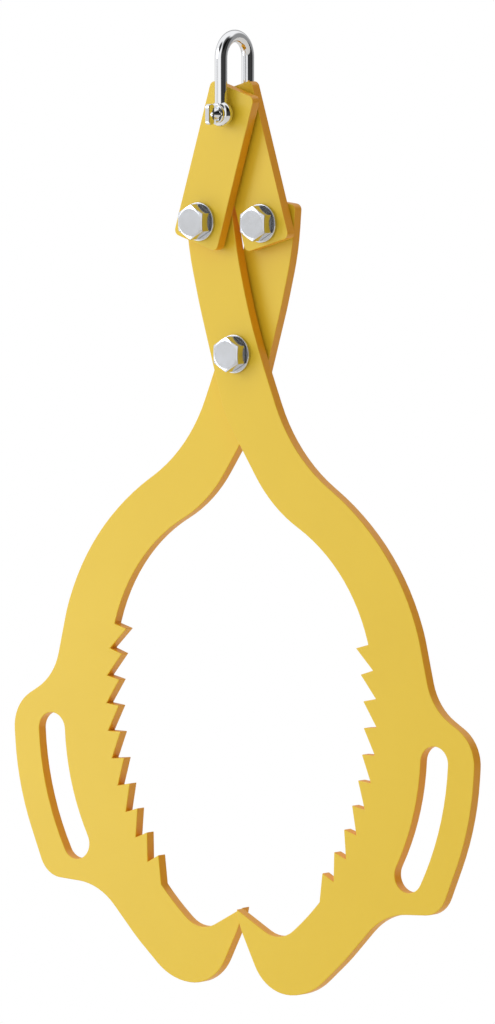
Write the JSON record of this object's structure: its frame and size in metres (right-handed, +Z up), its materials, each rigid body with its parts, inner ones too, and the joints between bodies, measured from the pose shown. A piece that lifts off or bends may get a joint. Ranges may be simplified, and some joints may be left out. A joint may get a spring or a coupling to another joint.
{
  "type": "log lifting tongs",
  "caption": "Scissor tongs for lifting logs: two toothed plate jaws with hand slots and claws, crossed on a pivot and drawn shut by links that hang from a shackle.",
  "frame": {"origin": "middle of the shackle bow, on the underside of its crown, where the crane hook bears", "axes": "+Z up along the hanging tongs, +X to the right across the jaws as seen from the bolt heads, +Y through the plates towards the lock nuts"},
  "size_m": [0.5254, 0.0824, 0.847],
  "materials": {
    "powder_coat": "satin yellow powder coat on cut steel plate",
    "zinc": "bright zinc plate",
    "chrome": "bright nickel-chrome plate",
    "nylon": "natural nylon"
  },
  "bodies": {
    "shackle_bow": {"shackle_bow": "chrome"},
    "shackle_pin": {"shackle_pin": "chrome"},
    "left_link": {"left_link": "powder_coat", "left_pivot_bolt": "zinc", "left_pivot_head_washer": "zinc", "left_pivot_spacer_washer": "zinc", "left_pivot_nut_washer": "zinc", "left_pivot_lock_nut": "zinc", "left_pivot_nut_insert": "nylon"},
    "right_link": {"right_link": "powder_coat", "right_pivot_bolt": "zinc", "right_pivot_head_washer": "zinc", "right_pivot_spacer_washer": "zinc", "right_pivot_nut_washer": "zinc", "right_pivot_lock_nut": "zinc", "right_pivot_nut_insert": "nylon"},
    "front_jaw": {"front_jaw": "powder_coat", "main_pivot_bolt": "zinc", "main_pivot_head_washer": "zinc", "main_pivot_spacer_washer": "zinc", "main_pivot_nut_washer": "zinc", "main_pivot_lock_nut": "zinc", "main_pivot_nut_insert": "nylon"},
    "rear_jaw": {"rear_jaw": "powder_coat"}
  },
  "joints": [
    {"name": "shackle_swing", "type": "hinge", "parent": "shackle_bow", "child": "shackle_pin", "pos_m": [0, 0, -0.062], "axis": [0, 1, 0], "range_deg": [-75, 75]},
    {"name": "left_link_pivot", "type": "hinge", "parent": "shackle_pin", "child": "left_link", "pos_m": [0, 0, -0.062], "axis": [0, 1, 0], "range_deg": [0, 35.7]},
    {"name": "right_link_pivot", "type": "hinge", "parent": "shackle_pin", "child": "right_link", "pos_m": [0, 0, -0.062], "axis": [0, 1, 0], "range_deg": [-35.7, 0]},
    {"name": "front_arm_pivot", "type": "hinge", "parent": "left_link", "child": "front_jaw", "pos_m": [-0.0294, 0, -0.15758], "axis": [0, 1, 0], "range_deg": [-63.7, 0]},
    {"name": "jaw_opening", "type": "hinge", "parent": "front_jaw", "child": "rear_jaw", "pos_m": [0, 0, -0.27341], "axis": [0, 1, 0], "range_deg": [0, 56]}
  ],
  "couplings": [
    {"joint": "left_link_pivot", "follows": "jaw_opening", "ratio": 0.637},
    {"joint": "right_link_pivot", "follows": "jaw_opening", "ratio": -0.637},
    {"joint": "front_arm_pivot", "follows": "jaw_opening", "ratio": -1.137}
  ]
}
